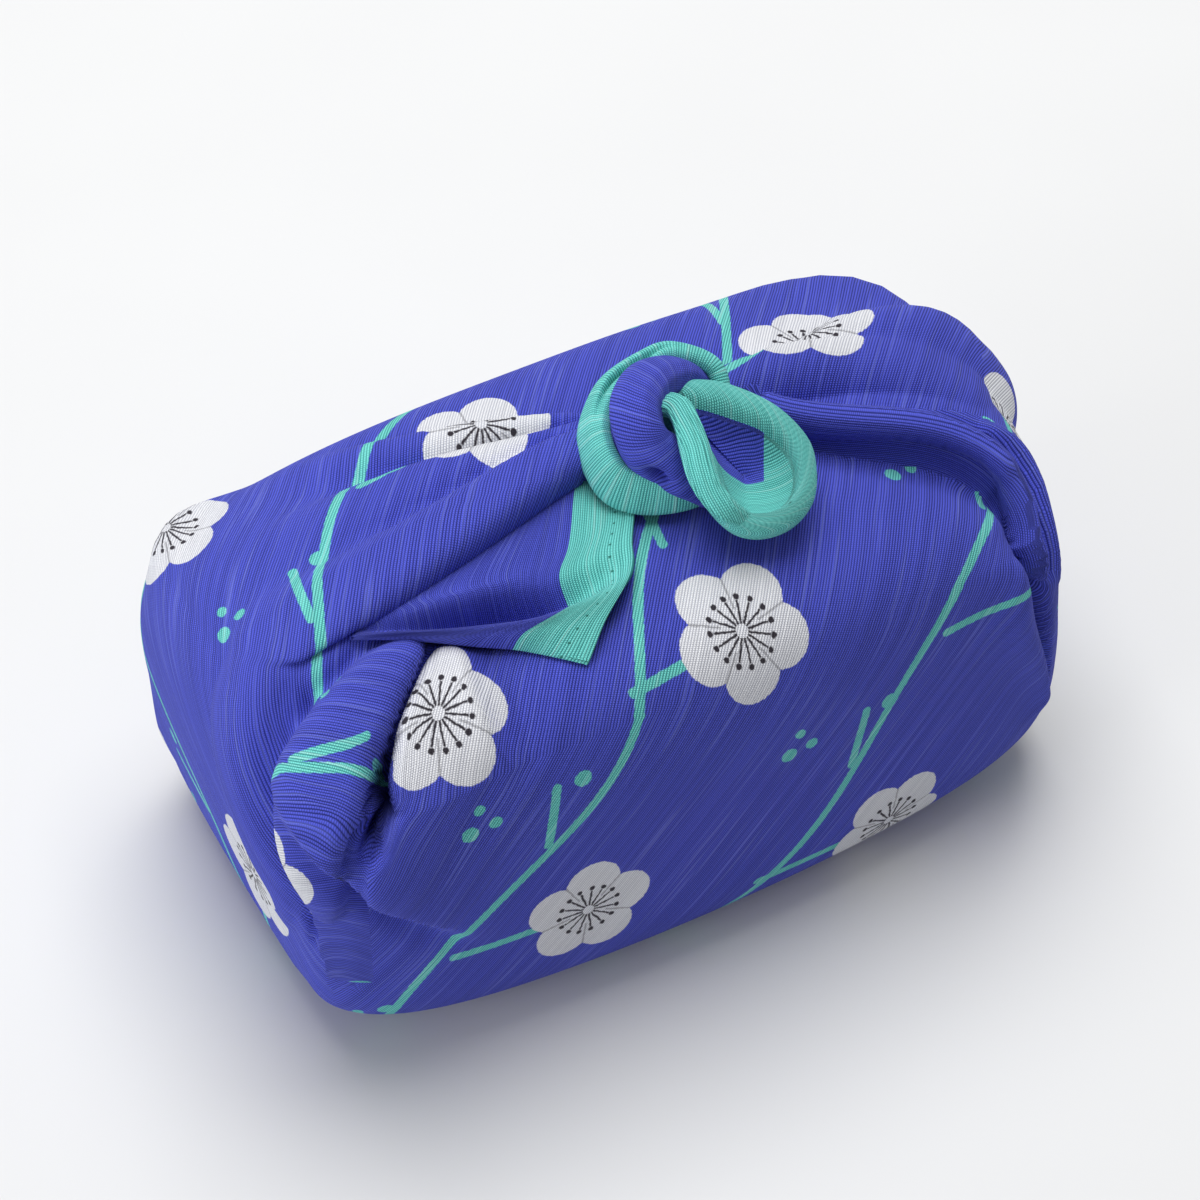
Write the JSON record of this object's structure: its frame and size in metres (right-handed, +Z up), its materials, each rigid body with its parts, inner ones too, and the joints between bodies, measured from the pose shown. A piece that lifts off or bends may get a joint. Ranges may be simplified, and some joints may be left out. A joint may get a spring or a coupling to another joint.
{
  "type": "furoshiki wrap",
  "caption": "Box-shaped bundle wrapped in a square cotton cloth, its corners gathered along the top and tied in a knot with a small open ear.",
  "frame": {"origin": "middle of the bundle's box, on the surface it rests on", "axes": "+X along the bundle towards the end on the ear's side, +Y to the back, +Z up through the knot"},
  "size_m": [0.1991, 0.107, 0.1144],
  "materials": {
    "indigo_cotton": "matt ribbed cotton, printed"
  },
  "bodies": {
    "root": {"wrapped_bundle": "indigo_cotton"}
  },
  "joints": []
}
